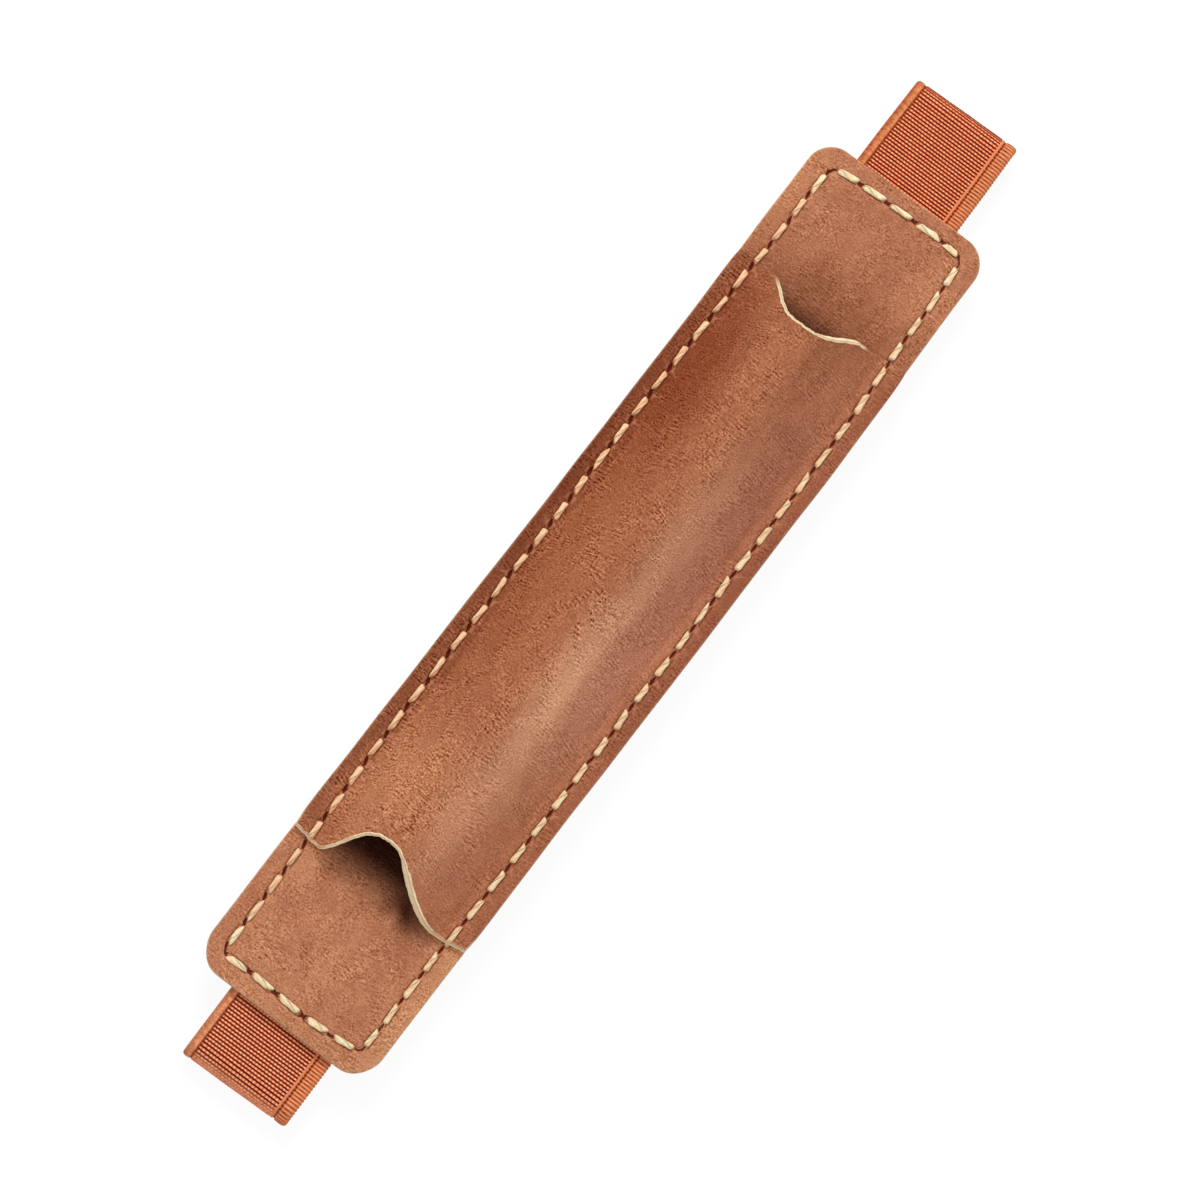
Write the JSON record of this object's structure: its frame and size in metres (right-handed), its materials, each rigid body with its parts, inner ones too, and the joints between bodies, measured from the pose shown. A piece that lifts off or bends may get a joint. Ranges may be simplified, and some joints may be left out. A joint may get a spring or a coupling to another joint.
{
  "type": "pen sleeve",
  "caption": "Leather sleeve with a stitched channel pocket open at both ends, on a flat loop of elastic that goes round a notebook cover.",
  "frame": {"origin": "middle of the part's box, on the surface that the elastic loop rests on", "axes": "+X across the sleeve to its right, +Y along it to its top end, +Z out of its front"},
  "size_m": [0.034, 0.202, 0.0195],
  "materials": {
    "base_leather": "waxed pull-up leather, matt to satin",
    "pocket_leather": "waxed pull-up leather, matt to satin",
    "elastic": "woven elastic with cross ribs",
    "thread": "waxed plied thread"
  },
  "bodies": {
    "strap_run": {"strap_rear_run": "elastic", "strap_top_fold": "elastic", "strap_bottom_fold": "elastic"},
    "sleeve": {"base_panel": "base_leather", "pocket_panel": "pocket_leather", "strap_top_tail": "elastic", "strap_bottom_tail": "elastic", "front_thread": "thread", "back_thread": "thread"}
  },
  "joints": [
    {"name": "strap_stretch", "type": "slide", "parent": "strap_run", "child": "sleeve", "axis": [0, 0, 1], "range_m": [0, 0.018], "stiffness_N_per_m": 250, "deforming": ["strap_top_fold", "strap_bottom_fold"]}
  ]
}
